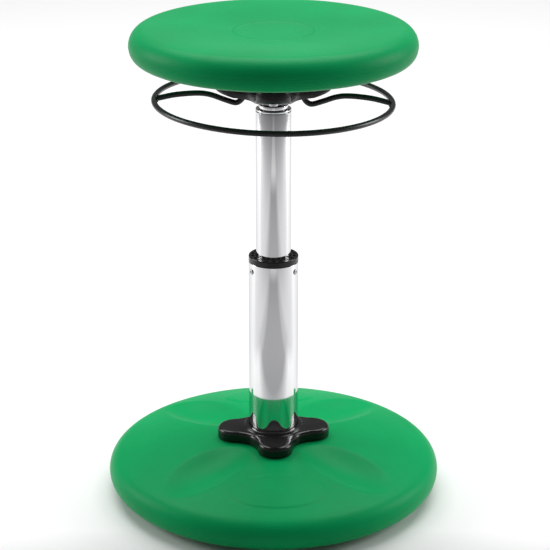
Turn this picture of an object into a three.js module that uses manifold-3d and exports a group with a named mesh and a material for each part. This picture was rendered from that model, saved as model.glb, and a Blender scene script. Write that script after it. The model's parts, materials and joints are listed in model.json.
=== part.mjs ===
// Height-adjustable wobble stool: rocking base, gas-spring column, ring lever and round seat.
// Millimetres, +Z up, origin on the floor under the column; the lever's arms lie along X.
import * as THREE from 'three';
import { mergeVertices } from 'three/addons/utils/BufferGeometryUtils.js';
import Module from 'manifold-3d';

const wasm = await Module();
wasm.setup();

// ---- driving dimensions -------------------------------------------------------------------
const GAP = 0.3;
const WALL = 4;
const TURN = 2 * Math.PI;

const BASE_RADIUS = 194.3;
const BASE_RIM_RADIUS = 19.6;
const BASE_RIM_Z = 26;
const DOME_TOP = 61.5;
const DOME_FLAT_RADIUS = 50;
const BASE_PLATE_RADIUS = 48;
const DOME_DROP = 0.000982;
const ROCKER_RADIUS = 2400;
const PAD_RADIUS = 75;
const PAD_THICKNESS = 4;
const BASE_OPENING_RADIUS = 60;
const BASE_YAW = THREE.MathUtils.degToRad(2.5);
const DIMPLE_DEPTH = 10;
const DIMPLE_HALF_WIDTH = 35;
const DIMPLE_INNER = 48.5;
const DIMPLE_OUTER = 174;
const OVAL_RADIUS = 131;
const OVAL_HALF_LENGTH = 55;
const OVAL_HALF_WIDTH = 32;
const OVAL_RISE = 0.8;

const SLEEVE_RADIUS = 28.5;
const SLEEVE_WALL = 2;
const SLEEVE_BOTTOM = 12;
const SLEEVE_TOP = 282;
const SLEEVE_FLOOR = 6;
const COLLAR_TOP = 289;
const BUSHING_BOTTOM = 250;
const BUSHING_SLOTS = 18;
const SCREW_Z = 273;
const SCREW_RADIUS = 2;

const TUBE_RADIUS = 20;
const TUBE_WALL = 1.5;
const TUBE_BOTTOM = 200;
const TUBE_TOP = 459;

const ROD_RADIUS = 5;
const CYLINDER_RADIUS = 14;
const CYLINDER_BOTTOM = 190;
const NECK_RADIUS = 10.7;
const NECK_BOTTOM = 452;
const NECK_TOP = 476;
const PISTON_Z = 215;

const STAR_REACH = 65.6;
const STAR_LOBE = 20;
const STAR_VALLEY = 40;
const STAR_TOP = 75.5;
const STAR_LIP_TOP = 79;
const BOLT_CIRCLE = 42;
const BOLT_RADIUS = 3;

const CAP_TOP = 467.3;
const SPIDER_BOTTOM = 478;
const ARM_TIP_RISE = 3.5;
const HUB_BOTTOM = 467;
const HUB_RADIUS = 16.5;
const HUB_FLARE = 38;
const SEAT_BOLT_CIRCLE = 54;

const SEAT_RADIUS = 159.3;
const SEAT_TOP = 554;
const SEAT_DISH = 5;
const SEAT_UNDER = 487;
const SEAT_UNDER_FLAT = 31;
const SEAT_EDGE_BOTTOM = 518;
const SEAT_OPENING = 24;
const SEAT_RIM_RADIUS = 19.3;
const SEAT_EDGE_RADIUS = 14.3;

const RING_RADIUS = 132.3;
const RING_Z = 470;
const ROD_LEVER = 3.15;
const RING_ROLL = THREE.MathUtils.degToRad(1.15);
const PIVOT_Y = -14;
const PIVOT_Z = 482;
const PIVOT_RADIUS = 2.5;
const ROCKER_BOTTOM = 480.8;
const ROCKER_TOP = 484;

// ---- materials ----------------------------------------------------------------------------
const finish = (color, roughness, metalness) =>
  new THREE.MeshStandardMaterial({ color, roughness, metalness });
const greenPlastic = () => finish(0x0f9f57, 0.5, 0);
const blackPlastic = () => finish(0x1b1b1c, 0.4, 0);
const blackSteel = () => finish(0x151516, 0.35, 0.2);
const chrome = () => finish(0xd9dadc, 0.08, 1);
const plainSteel = () => finish(0x9a9c9f, 0.35, 1);
const rubber = () => finish(0x222222, 0.9, 0);

// ---- helpers ------------------------------------------------------------------------------
const group = new THREE.Group();

function addPart(name, geometry, material) {
  const mesh = new THREE.Mesh(geometry, material);
  mesh.name = name;
  group.add(mesh);
  return mesh;
}

// Turns an outline of [radius, height] pairs, listed anticlockwise, about the Z axis.
function turned(outline, segments = 28) {
  const points = outline.map(([radius, height]) => new THREE.Vector2(radius, height));
  return new THREE.LatheGeometry(points, segments).rotateX(Math.PI / 2);
}

function disc(radius, bottom, top, segments = 28) {
  return turned([[0, bottom], [radius, bottom], [radius, top], [0, top]], segments);
}

function tube(inner, outer, bottom, top, segments = 28) {
  return turned([[inner, bottom], [outer, bottom], [outer, top], [inner, top], [inner, bottom]], segments);
}

// Closes a body out of rings; each ring is a function of the angle that gives [radius, height].
function ringBody(rings, segments) {
  const positions = [];
  const index = [];
  for (const ring of rings) {
    for (let j = 0; j < segments; j += 1) {
      const angle = (j * TURN) / segments;
      const [radius, height] = ring(angle);
      positions.push(radius * Math.cos(angle), radius * Math.sin(angle), height);
    }
  }
  for (let i = 0; i < rings.length; i += 1) {
    const next = (i + 1) % rings.length;
    for (let j = 0; j < segments; j += 1) {
      const side = (j + 1) % segments;
      index.push(i * segments + j, i * segments + side, next * segments + j);
      index.push(i * segments + side, next * segments + side, next * segments + j);
    }
  }
  const geometry = new THREE.BufferGeometry();
  geometry.setAttribute('position', new THREE.Float32BufferAttribute(positions, 3));
  geometry.setIndex(index);
  return geometry;
}

function toManifold(geometry) {
  const bare = geometry.clone();
  bare.deleteAttribute('normal');
  bare.deleteAttribute('uv');
  const merged = mergeVertices(bare, 1e-5);
  const kept = [];
  const source = merged.index.array;
  for (let i = 0; i < source.length; i += 3) {
    const [a, b, c] = [source[i], source[i + 1], source[i + 2]];
    if (a !== b && b !== c && c !== a) {
      kept.push(a, b, c);
    }
  }
  return new wasm.Manifold(new wasm.Mesh({
    numProp: 3,
    vertProperties: new Float32Array(merged.attributes.position.array),
    triVerts: new Uint32Array(kept),
  }));
}

function cut(geometry, cutters) {
  let body = toManifold(geometry);
  for (const cutter of cutters) {
    body = body.subtract(toManifold(cutter));
  }
  const mesh = body.getMesh();
  const result = new THREE.BufferGeometry();
  result.setAttribute('position', new THREE.Float32BufferAttribute(mesh.vertProperties, 3));
  result.setIndex(Array.from(mesh.triVerts));
  result.computeVertexNormals();
  return result;
}

// A round bar or hole along Z between two heights, away from the axis.
function post(radius, bottom, top, x, y, segments = 16) {
  return disc(radius, bottom, top, segments).translate(x, y, 0);
}

function aroundAxis(count, start, radius) {
  return Array.from({ length: count }, (_, k) => {
    const angle = start + (k * TURN) / count;
    return { angle, x: radius * Math.cos(angle), y: radius * Math.sin(angle) };
  });
}

// ---- base ---------------------------------------------------------------------------------
const underside = (radius) => (radius * radius) / (2 * ROCKER_RADIUS);
const RIM_CENTRE = BASE_RADIUS - BASE_RIM_RADIUS;

// Depth of the four oval scoops, which lie on the diagonals.
function dimple(x, y) {
  const radius = Math.hypot(x, y);
  const quarter = TURN / 4;
  const angle = Math.atan2(y, x) - BASE_YAW - quarter / 2;
  const offset = angle - Math.round(angle / quarter) * quarter;
  const centre = (DIMPLE_INNER + DIMPLE_OUTER) / 2;
  const along = (radius * Math.cos(offset) - centre) / (DIMPLE_OUTER - centre);
  const across = (radius * Math.sin(offset)) / DIMPLE_HALF_WIDTH;
  const bowl = Math.max(0, 1 - along * along - across * across);
  return DIMPLE_DEPTH * bowl ** 1.3;
}

// Rise of the two blank oval panels, one in front of the column and one behind it.
function oval(x, y) {
  const turnedX = x * Math.cos(BASE_YAW) + y * Math.sin(BASE_YAW);
  const turnedY = y * Math.cos(BASE_YAW) - x * Math.sin(BASE_YAW);
  const reach = Math.hypot(turnedX / OVAL_HALF_LENGTH, (Math.abs(turnedY) - OVAL_RADIUS) / OVAL_HALF_WIDTH);
  return reach < 1 ? OVAL_RISE : 0;
}

function dome(radius, drop, detail) {
  return (angle) => {
    const x = radius * Math.cos(angle);
    const y = radius * Math.sin(angle);
    const fall = DOME_DROP * Math.max(0, radius - DOME_FLAT_RADIUS) ** 2;
    return [radius, DOME_TOP - drop - fall - dimple(x, y) + detail * oval(x, y)];
  };
}

const plainRing = (radius, height) => () => [radius, height];

function baseShell() {
  const rings = [];
  const rimStart = THREE.MathUtils.degToRad(-79);
  const rimEnd = THREE.MathUtils.degToRad(76);
  const rimPoint = (angle, inset) => plainRing(
    RIM_CENTRE + (BASE_RIM_RADIUS - inset) * Math.cos(angle),
    BASE_RIM_Z + (BASE_RIM_RADIUS - inset) * Math.sin(angle),
  );
  const ledge = PAD_THICKNESS + GAP;
  rings.push(plainRing(BASE_OPENING_RADIUS, ledge));
  rings.push(plainRing(PAD_RADIUS + GAP, ledge));
  for (let k = 0; k <= 3; k += 1) {
    const radius = PAD_RADIUS + GAP + (k / 3) * (RIM_CENTRE - 8 - PAD_RADIUS);
    rings.push(plainRing(radius, underside(radius)));
  }
  for (let k = 0; k <= 7; k += 1) {
    rings.push(rimPoint(rimStart + (k / 7) * (rimEnd - rimStart), 0));
  }
  const bore = SLEEVE_RADIUS + 0.5;
  for (let k = 0; k <= 10; k += 1) {
    rings.push(dome(172 - (k / 10) * (172 - DIMPLE_INNER), 0, 1));
  }
  rings.push(dome(bore, 0, 0));
  rings.push(dome(bore, WALL, 0));
  for (let k = 0; k <= 6; k += 1) {
    rings.push(dome(DIMPLE_INNER + (k / 6) * (170 - DIMPLE_INNER), WALL, 0));
  }
  for (let k = 0; k <= 3; k += 1) {
    rings.push(rimPoint(rimEnd - (k / 3) * (rimEnd - rimStart), WALL));
  }
  const innerFloor = PAD_RADIUS + 10;
  rings.push(plainRing(innerFloor, underside(innerFloor) + WALL + 3));
  rings.push(plainRing(BASE_OPENING_RADIUS, ledge + WALL));
  const shell = ringBody(rings, 56);
  const holes = aroundAxis(4, BASE_YAW, BOLT_CIRCLE)
    .map(({ x, y }) => post(BOLT_RADIUS + GAP, DOME_TOP - 2 * WALL, DOME_TOP + WALL, x, y, 12));
  return cut(shell, holes);
}

const gripPad = () => turned([
  [0, 0], [PAD_RADIUS - 1, 0], [PAD_RADIUS, 1], [PAD_RADIUS, PAD_THICKNESS], [0, PAD_THICKNESS],
], 64);

const accessCover = () => disc(BASE_OPENING_RADIUS - GAP, PAD_THICKNESS + GAP, PAD_THICKNESS + WALL, 32);

// ---- star bracket -------------------------------------------------------------------------
// Outline of a four-lobed bracket: round lobes on the axes, joined by hollow curves.
function starRadius(angle, reach, inset) {
  const quarter = TURN / 4;
  const offset = Math.abs(angle - Math.round(angle / quarter) * quarter);
  const centre = reach - STAR_LOBE;
  const edge = 0.42;
  const lobe = (a) => centre * Math.cos(a) + Math.sqrt(STAR_LOBE ** 2 - (centre * Math.sin(a)) ** 2);
  if (offset < edge) {
    return lobe(offset) - inset;
  }
  const blend = (offset - edge) / (quarter / 2 - edge);
  return lobe(edge) + (STAR_VALLEY - lobe(edge)) * (2 * blend - blend * blend) - inset;
}

function starBracket() {
  const bottom = DOME_TOP + GAP;
  const bore = SLEEVE_RADIUS + GAP;
  const edge = (inset, height) => (angle) => [starRadius(angle - BASE_YAW, STAR_REACH, inset), height];
  const body = ringBody([
    plainRing(bore, bottom),
    edge(1.5, bottom),
    edge(0, bottom + 2),
    edge(0, STAR_TOP - 3.5),
    edge(1, STAR_TOP - 1.2),
    edge(3.5, STAR_TOP),
    plainRing(bore + 6, STAR_TOP),
    plainRing(bore + 5, STAR_LIP_TOP - 0.6),
    plainRing(bore + 4, STAR_LIP_TOP),
    plainRing(bore, STAR_LIP_TOP),
  ], 32);
  const holes = aroundAxis(4, BASE_YAW, BOLT_CIRCLE)
    .map(({ x, y }) => post(BOLT_RADIUS + GAP, bottom - 5, STAR_TOP - 4, x, y, 12));
  return cut(body, holes);
}

const PLATE_TOP = DOME_TOP - WALL - GAP;
const PLATE_BOTTOM = PLATE_TOP - 4;

function basePlate() {
  const plate = tube(SLEEVE_RADIUS + GAP, BASE_PLATE_RADIUS, PLATE_BOTTOM, PLATE_TOP, 32);
  const holes = aroundAxis(4, BASE_YAW, BOLT_CIRCLE)
    .map(({ x, y }) => post(BOLT_RADIUS + GAP, PLATE_BOTTOM - 5, PLATE_TOP + 5, x, y, 12));
  return cut(plate, holes);
}

// A bolt that points up: a head below its seat and a shank above it.
function bolt(seat, top, x, y) {
  return turned([
    [0, seat - 4], [5, seat - 4], [5, seat], [BOLT_RADIUS, seat], [BOLT_RADIUS, top], [0, top],
  ], 12).translate(x, y, 0);
}

// ---- column -------------------------------------------------------------------------------
const SLEEVE_INNER = SLEEVE_RADIUS - SLEEVE_WALL;
const screwAngles = aroundAxis(3, TURN / 4, 1);

function radialPost(radius, from, to, angle, height, segments = 12) {
  return disc(radius, from, to, segments).rotateY(Math.PI / 2).rotateZ(angle).translate(0, 0, height);
}

function lowerSleeve() {
  const holes = screwAngles
    .map(({ angle }) => radialPost(SCREW_RADIUS + GAP, SLEEVE_INNER - 3, SLEEVE_RADIUS + 3, angle, SCREW_Z));
  return cut(tube(SLEEVE_INNER, SLEEVE_RADIUS, SLEEVE_BOTTOM, SLEEVE_TOP, 48), holes);
}

const FLOOR_TOP = SLEEVE_BOTTOM + SLEEVE_FLOOR;
const sleeveFloor = () => tube(ROD_RADIUS + GAP, SLEEVE_INNER - GAP, SLEEVE_BOTTOM, FLOOR_TOP);

function guideBushing() {
  const inner = TUBE_RADIUS + GAP;
  const outer = SLEEVE_INNER - GAP;
  const body = turned([
    [inner, BUSHING_BOTTOM], [outer, BUSHING_BOTTOM], [outer, SLEEVE_TOP + GAP], [SLEEVE_RADIUS, SLEEVE_TOP + GAP],
    [SLEEVE_RADIUS, COLLAR_TOP - 0.8], [SLEEVE_RADIUS - 0.8, COLLAR_TOP], [inner, COLLAR_TOP],
    [inner, BUSHING_BOTTOM],
  ], 32);
  const slots = aroundAxis(BUSHING_SLOTS, TURN / (2 * BUSHING_SLOTS), inner + 3.4)
    .map(({ angle, x, y }) => new THREE.BoxGeometry(2.6, 4.6, 5)
      .rotateZ(angle).translate(x, y, COLLAR_TOP));
  const threads = screwAngles
    .map(({ angle }) => radialPost(SCREW_RADIUS + GAP, inner + 1.5, outer + 3, angle, SCREW_Z));
  return cut(body, [...slots, ...threads]);
}

// A flat-headed screw pointing inwards through the sleeve.
function bushingScrew(angle) {
  const seat = SLEEVE_RADIUS + GAP;
  return turned([
    [0, TUBE_RADIUS + 2.3], [SCREW_RADIUS, TUBE_RADIUS + 2.3], [SCREW_RADIUS, seat], [3.2, seat],
    [2.6, seat + 0.8], [0, seat + 0.8],
  ], 16).rotateY(Math.PI / 2).rotateZ(angle).translate(0, 0, SCREW_Z);
}

const RACE_STEP = 2;
const raceBottom = FLOOR_TOP + GAP;
const cageBottom = raceBottom + RACE_STEP + GAP;
const upperRaceBottom = cageBottom + 3 + GAP;
const bumpBottom = upperRaceBottom + RACE_STEP + GAP;
const BUMP_HEIGHT = 6;

function pistonRod() {
  return turned([
    [0, SLEEVE_BOTTOM - 3], [ROD_RADIUS, SLEEVE_BOTTOM - 3], [ROD_RADIUS, PISTON_Z - GAP],
    [3, PISTON_Z - GAP], [3, PISTON_Z + 12], [0, PISTON_Z + 12],
  ], 24);
}

const rodClip = () => tube(ROD_RADIUS + GAP, 9, SLEEVE_BOTTOM - 2.6, SLEEVE_BOTTOM - GAP, 24);
const piston = () => tube(3 + GAP, CYLINDER_RADIUS - 1.8, PISTON_Z, PISTON_Z + 10, 32);

function gasCylinder() {
  const inner = CYLINDER_RADIUS - 1.5;
  return turned([
    [inner, CYLINDER_BOTTOM], [CYLINDER_RADIUS, CYLINDER_BOTTOM], [CYLINDER_RADIUS, NECK_BOTTOM],
    [NECK_RADIUS, NECK_BOTTOM + 5], [NECK_RADIUS, NECK_TOP], [4.3, NECK_TOP], [4.3, NECK_BOTTOM],
    [inner, NECK_BOTTOM - 8], [inner, CYLINDER_BOTTOM],
  ]);
}

const cylinderGland = () => tube(ROD_RADIUS + GAP, CYLINDER_RADIUS - 1.8, CYLINDER_BOTTOM, CYLINDER_BOTTOM + 14, 32);
const upperTube = () => tube(TUBE_RADIUS - TUBE_WALL, TUBE_RADIUS, TUBE_BOTTOM, TUBE_TOP, 32);

function tubeGuide() {
  const outer = SLEEVE_INNER - GAP;
  return turned([
    [CYLINDER_RADIUS + GAP, TUBE_BOTTOM - 5], [outer, TUBE_BOTTOM - 5], [outer, TUBE_BOTTOM + 20],
    [TUBE_RADIUS + GAP, TUBE_BOTTOM + 20], [TUBE_RADIUS + GAP, TUBE_BOTTOM - GAP],
    [CYLINDER_RADIUS + GAP, TUBE_BOTTOM - GAP], [CYLINDER_RADIUS + GAP, TUBE_BOTTOM - 5],
  ]);
}

function topCap() {
  const base = TUBE_TOP + GAP;
  const bore = NECK_RADIUS + GAP;
  return turned([
    [bore, base], [TUBE_RADIUS - 0.8, base], [TUBE_RADIUS, base + 1], [TUBE_RADIUS - 0.6, base + 2.6],
    [HUB_RADIUS, base + 3.4], [HUB_RADIUS, CAP_TOP - 0.6], [bore, CAP_TOP - 0.6], [bore, base],
  ]);
}

// ---- seat support and lever ---------------------------------------------------------------
const SEAT_EDGE_CENTRE = SEAT_RADIUS - SEAT_EDGE_RADIUS - 0.4;
const SEAT_UNDER_SLOPE = (SEAT_EDGE_BOTTOM - SEAT_UNDER) / (SEAT_EDGE_CENTRE - SEAT_UNDER_FLAT);
const seatUnder = (radius) => SEAT_UNDER + SEAT_UNDER_SLOPE * Math.max(0, radius - SEAT_UNDER_FLAT);
const CAVITY_HALF = 41;

function seatSpider() {
  const bore = NECK_RADIUS + GAP;
  // A ring part of the way out from the hub's flare to the star's outline; the tips rise a little.
  const lower = (part, lift) => (angle) => {
    const reach = starRadius(angle, STAR_REACH, 0) - HUB_FLARE;
    const slope = ARM_TIP_RISE / (STAR_REACH - HUB_FLARE);
    return [HUB_FLARE + part * reach, SPIDER_BOTTOM + lift + slope * Math.max(0, part * reach - 10)];
  };
  const upper = (inset, drop) => (angle) => {
    const radius = starRadius(angle, STAR_REACH, inset);
    return [radius, seatUnder(radius) - GAP - drop];
  };
  const body = ringBody([
    plainRing(bore, HUB_BOTTOM + GAP),
    plainRing(HUB_RADIUS, HUB_BOTTOM + GAP),
    plainRing(HUB_FLARE, SPIDER_BOTTOM),
    lower(0.4, 0),
    lower(0.88, 0),
    lower(0.96, 1),
    lower(1, 3),
    upper(0, 1),
    upper(0.8, 0),
    plainRing(SEAT_UNDER_FLAT, SEAT_UNDER - GAP),
    plainRing(bore, SEAT_UNDER - GAP),
  ], 32);
  const cavity = new THREE.BoxGeometry(2 * CAVITY_HALF, 26, 30).translate(0, -6, NECK_TOP + GAP + 15);
  const slots = [-1, 1].map((side) => new THREE.BoxGeometry(13, 14, 30).translate(side * 33.5, 0, SPIDER_BOTTOM));
  const pinHole = disc(PIVOT_RADIUS + 0.15, -CAVITY_HALF - 6, CAVITY_HALF + 6, 16)
    .rotateY(Math.PI / 2).translate(0, PIVOT_Y, PIVOT_Z);
  const holes = aroundAxis(4, 0, SEAT_BOLT_CIRCLE)
    .map(({ x, y }) => post(BOLT_RADIUS + GAP, SPIDER_BOTTOM - 5, SEAT_UNDER + 15, x, y, 12));
  const heads = aroundAxis(4, 0, SEAT_BOLT_CIRCLE)
    .map(({ x, y }) => post(5.6, SPIDER_BOTTOM - 5, SPIDER_BOTTOM + 5.3, x, y, 16));
  return cut(body, [cavity, ...slots, pinHole, ...holes, ...heads]);
}

function leverArm(side) {
  const drop = (x) => RING_Z - x * side * Math.sin(RING_ROLL);
  const path = new THREE.CatmullRomCurve3([
    [RING_RADIUS - 4.2, 0.4], [RING_RADIUS - 24, 4.8], [85, 7], [70, 5.6], [54, 0.2], [42, -3], [35.4, 0.8],
    [33.2, 6.4], [33, ROCKER_BOTTOM - GAP - RING_Z],
  ].map(([x, rise], k, list) => {
    const height = k === list.length - 1 ? RING_Z + rise : drop(x) + rise;
    return new THREE.Vector3(side * x, 0, height);
  }));
  const circle = new THREE.Shape().absarc(0, 0, ROD_LEVER, 0, TURN);
  return new THREE.ExtrudeGeometry(circle, { steps: 24, curveSegments: 4, extrudePath: path });
}

const leverRing = () => new THREE.TorusGeometry(RING_RADIUS, ROD_LEVER, 8, 32);

function leverRocker() {
  const plate = new THREE.Shape();
  const knuckle = 3.6;
  plate.absarc(PIVOT_Y, PIVOT_Z, knuckle, Math.PI * 0.25, Math.PI * 1.9);
  plate.lineTo(4.5, ROCKER_BOTTOM);
  plate.lineTo(4.5, ROCKER_TOP);
  const bore = new THREE.Path().absarc(PIVOT_Y, PIVOT_Z, PIVOT_RADIUS + 0.08, 0, TURN, true);
  plate.holes.push(bore);
  const length = 2 * CAVITY_HALF - 5;
  return new THREE.ExtrudeGeometry(plate, { depth: length, bevelEnabled: false, curveSegments: 10 })
    .translate(0, 0, -length / 2)
    .applyMatrix4(new THREE.Matrix4().set(0, 0, 1, 0, 1, 0, 0, 0, 0, 1, 0, 0, 0, 0, 0, 1));
}

const leverPivotPin = () => disc(PIVOT_RADIUS, -CAVITY_HALF - 5.5, CAVITY_HALF + 5.5, 24)
  .rotateY(Math.PI / 2).translate(0, PIVOT_Y, PIVOT_Z);

// The release pin has a tapered tip, so that the tilting rocker stays clear of its rim.
const valvePin = () => turned([
  [0, NECK_TOP - 14], [4, NECK_TOP - 14], [4, ROCKER_BOTTOM - 2.5], [1.2, ROCKER_BOTTOM - GAP],
  [0, ROCKER_BOTTOM - GAP],
], 20);

// ---- seat ---------------------------------------------------------------------------------
function seatShell() {
  const outline = [];
  const rimCentre = SEAT_RADIUS - SEAT_RIM_RADIUS;
  const rimHeight = SEAT_TOP - SEAT_RIM_RADIUS;
  const edgeHeight = SEAT_EDGE_BOTTOM + SEAT_EDGE_RADIUS;
  const arc = (radius, height, size, from, to, steps) => {
    for (let k = 0; k <= steps; k += 1) {
      const angle = THREE.MathUtils.degToRad(from + ((to - from) * k) / steps);
      outline.push([radius + size * Math.cos(angle), height + size * Math.sin(angle)]);
    }
  };
  outline.push([SEAT_OPENING, SEAT_UNDER], [SEAT_UNDER_FLAT, SEAT_UNDER]);
  arc(SEAT_EDGE_CENTRE, edgeHeight, SEAT_EDGE_RADIUS, -80, 0, 4);
  arc(rimCentre, rimHeight, SEAT_RIM_RADIUS, 4, 86, 5);
  outline.push([100, SEAT_TOP - 0.6 * SEAT_DISH], [45, SEAT_TOP - SEAT_DISH], [0, SEAT_TOP - SEAT_DISH]);
  outline.push([0, SEAT_TOP - SEAT_DISH - WALL], [100, SEAT_TOP - 0.6 * SEAT_DISH - WALL]);
  arc(rimCentre, rimHeight, SEAT_RIM_RADIUS - WALL, 80, 0, 3);
  arc(SEAT_EDGE_CENTRE, edgeHeight, SEAT_EDGE_RADIUS - WALL, 0, -80, 2);
  outline.push([SEAT_UNDER_FLAT, SEAT_UNDER + WALL], [SEAT_OPENING, SEAT_UNDER + WALL], [SEAT_OPENING, SEAT_UNDER]);
  const holes = aroundAxis(4, 0, SEAT_BOLT_CIRCLE)
    .map(({ x, y }) => post(BOLT_RADIUS + GAP, SEAT_UNDER - 5, SEAT_UNDER + 25, x, y, 12));
  return cut(turned(outline, 48), holes);
}

const SEAT_PLATE_BOTTOM = seatUnder(DOME_FLAT_RADIUS + 14) + WALL + 1.5;

function seatPlate() {
  const plate = tube(SEAT_OPENING - 8, DOME_FLAT_RADIUS + 14, SEAT_PLATE_BOTTOM, SEAT_PLATE_BOTTOM + 3, 32);
  const holes = aroundAxis(4, 0, SEAT_BOLT_CIRCLE)
    .map(({ x, y }) => post(BOLT_RADIUS + GAP, SEAT_PLATE_BOTTOM - 5, SEAT_PLATE_BOTTOM + 8, x, y, 12));
  return cut(plate, holes);
}

// ---- assembly -----------------------------------------------------------------------------
addPart('base_shell', baseShell(), greenPlastic());
addPart('grip_pad', gripPad(), rubber());
addPart('access_cover', accessCover(), blackPlastic());
addPart('base_plate', basePlate(), plainSteel());
addPart('star_bracket', starBracket(), blackPlastic());
aroundAxis(4, BASE_YAW, BOLT_CIRCLE).forEach(({ x, y }, k) => {
  addPart(`star_bolt_${k + 1}`, bolt(PLATE_BOTTOM - GAP, STAR_TOP - 5, x, y), plainSteel());
});
addPart('lower_sleeve', lowerSleeve(), chrome());
addPart('sleeve_floor', sleeveFloor(), plainSteel());
addPart('guide_bushing', guideBushing(), blackPlastic());
screwAngles.forEach(({ angle }, k) => {
  addPart(`bushing_screw_${k + 1}`, bushingScrew(angle), plainSteel());
});
addPart('thrust_race_lower', tube(6, 13, raceBottom, raceBottom + RACE_STEP, 32), plainSteel());
addPart('thrust_cage', tube(6, 12.5, cageBottom, cageBottom + 3, 32), plainSteel());
addPart('thrust_race_upper', tube(6, 13, upperRaceBottom, upperRaceBottom + RACE_STEP, 32), plainSteel());
addPart('bump_stop', tube(ROD_RADIUS + GAP, 12, bumpBottom, bumpBottom + BUMP_HEIGHT, 32), rubber());
addPart('piston_rod', pistonRod(), chrome());
addPart('rod_clip', rodClip(), plainSteel());
addPart('piston', piston(), plainSteel());
addPart('gas_cylinder', gasCylinder(), blackSteel());
addPart('cylinder_gland', cylinderGland(), plainSteel());
addPart('upper_tube', upperTube(), chrome());
addPart('tube_guide', tubeGuide(), blackPlastic());
addPart('top_cap', topCap(), chrome());
addPart('seat_spider', seatSpider(), blackPlastic());
addPart('valve_pin', valvePin(), plainSteel());
addPart('lever_rocker', leverRocker(), blackSteel());
addPart('lever_pivot_pin', leverPivotPin(), plainSteel());
addPart('lever_arm_left', leverArm(-1), blackSteel());
addPart('lever_arm_right', leverArm(1), blackSteel());
const ring = addPart('lever_ring', leverRing(), blackSteel());
ring.rotation.y = RING_ROLL;
ring.position.z = RING_Z;
addPart('seat_plate', seatPlate(), plainSteel());
aroundAxis(4, 0, SEAT_BOLT_CIRCLE).forEach(({ x, y }, k) => {
  addPart(`seat_bolt_${k + 1}`, bolt(SPIDER_BOTTOM + 5, SEAT_PLATE_BOTTOM + 6, x, y), plainSteel());
});
addPart('seat_shell', seatShell(), greenPlastic());

export default group;
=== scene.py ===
"""Looks of a height-adjustable wobble stool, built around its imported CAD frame.

Lengths are in millimetres up to mesh_piece(), which writes metres. Main sizes come from the frame.
"""
import json
import math

import bpy
from mathutils import Matrix, Vector


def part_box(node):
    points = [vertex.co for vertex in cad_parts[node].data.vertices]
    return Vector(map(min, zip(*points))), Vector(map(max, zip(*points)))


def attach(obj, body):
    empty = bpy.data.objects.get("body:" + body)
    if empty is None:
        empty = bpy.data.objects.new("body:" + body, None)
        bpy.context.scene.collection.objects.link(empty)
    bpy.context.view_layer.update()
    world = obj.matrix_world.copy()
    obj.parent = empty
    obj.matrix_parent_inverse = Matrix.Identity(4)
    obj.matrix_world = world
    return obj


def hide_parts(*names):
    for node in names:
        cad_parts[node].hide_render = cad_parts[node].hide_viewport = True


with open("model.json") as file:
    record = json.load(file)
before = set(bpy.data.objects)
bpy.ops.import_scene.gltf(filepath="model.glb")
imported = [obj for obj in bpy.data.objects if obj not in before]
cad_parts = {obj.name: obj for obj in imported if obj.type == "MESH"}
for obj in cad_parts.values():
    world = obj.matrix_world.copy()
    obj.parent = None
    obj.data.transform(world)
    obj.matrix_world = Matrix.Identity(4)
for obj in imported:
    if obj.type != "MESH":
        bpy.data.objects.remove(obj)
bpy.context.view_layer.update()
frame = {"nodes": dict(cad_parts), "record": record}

MM = 0.001
TURN = 2 * math.pi


def low(node):
    """Lowest corner of a CAD node, in millimetres."""
    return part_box(node)[0] / MM


def high(node):
    """Highest corner of a CAD node, in millimetres."""
    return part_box(node)[1] / MM


# ---- sizes --------------------------------------------------------------------------------
WALL = 4
GAP = 0.3

BASE_RADIUS = high("base_shell").x
BASE_RIM_RADIUS = 19.6
BASE_RIM_Z = 26
RIM_CENTRE = BASE_RADIUS - BASE_RIM_RADIUS
DOME_TOP = low("star_bracket").z - GAP
DOME_FLAT_RADIUS = 50
DOME_OUTER_RADIUS = 178.6
DOME_INNER_WALL_RADIUS = 172
DOME_DROP = 0.000982
ROCKER_RADIUS = 2400
PAD_RADIUS = high("grip_pad").x
PAD_THICKNESS = high("grip_pad").z
PAD_GROOVES = range(14, 68, 9)
PAD_GROOVE_DEPTH = 0.9
BASE_OPENING = high("access_cover").x + GAP
BASE_YAW = math.radians(2.5)
DIMPLE_DEPTH = 10
DIMPLE_HALF_WIDTH = 35
DIMPLE_INNER = 48.5
DIMPLE_OUTER = 174
OVAL_RADIUS = 131
OVAL_HALF_LENGTH = 55
OVAL_HALF_WIDTH = 32
OVAL_RISE = 0.8

SLEEVE_RADIUS = high("lower_sleeve").x
SLEEVE_WALL = 2
SLEEVE_BOTTOM = low("lower_sleeve").z
SLEEVE_TOP = high("lower_sleeve").z
COLLAR_TOP = high("guide_bushing").z
BUSHING_BOTTOM = low("guide_bushing").z
BUSHING_SLOTS = 18
SCREW_Z = 273
SCREW_COUNT = 3
SCREW_HOLE_RADIUS = 2.3

TUBE_RADIUS = high("upper_tube").x
TUBE_WALL = 1.5
TUBE_BOTTOM = low("upper_tube").z
TUBE_TOP = high("upper_tube").z
CAP_TOP = high("top_cap").z
NECK_RADIUS = 10.7

STAR_REACH = 65.6
STAR_LOBE = 20
STAR_VALLEY = 40
STAR_LOBE_ANGLE = 0.42
STAR_EDGE_ROUND = 4.2
STAR_FOOT = 1.4
STAR_TOP = 75.5
STAR_LIP_TOP = high("star_bracket").z

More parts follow.
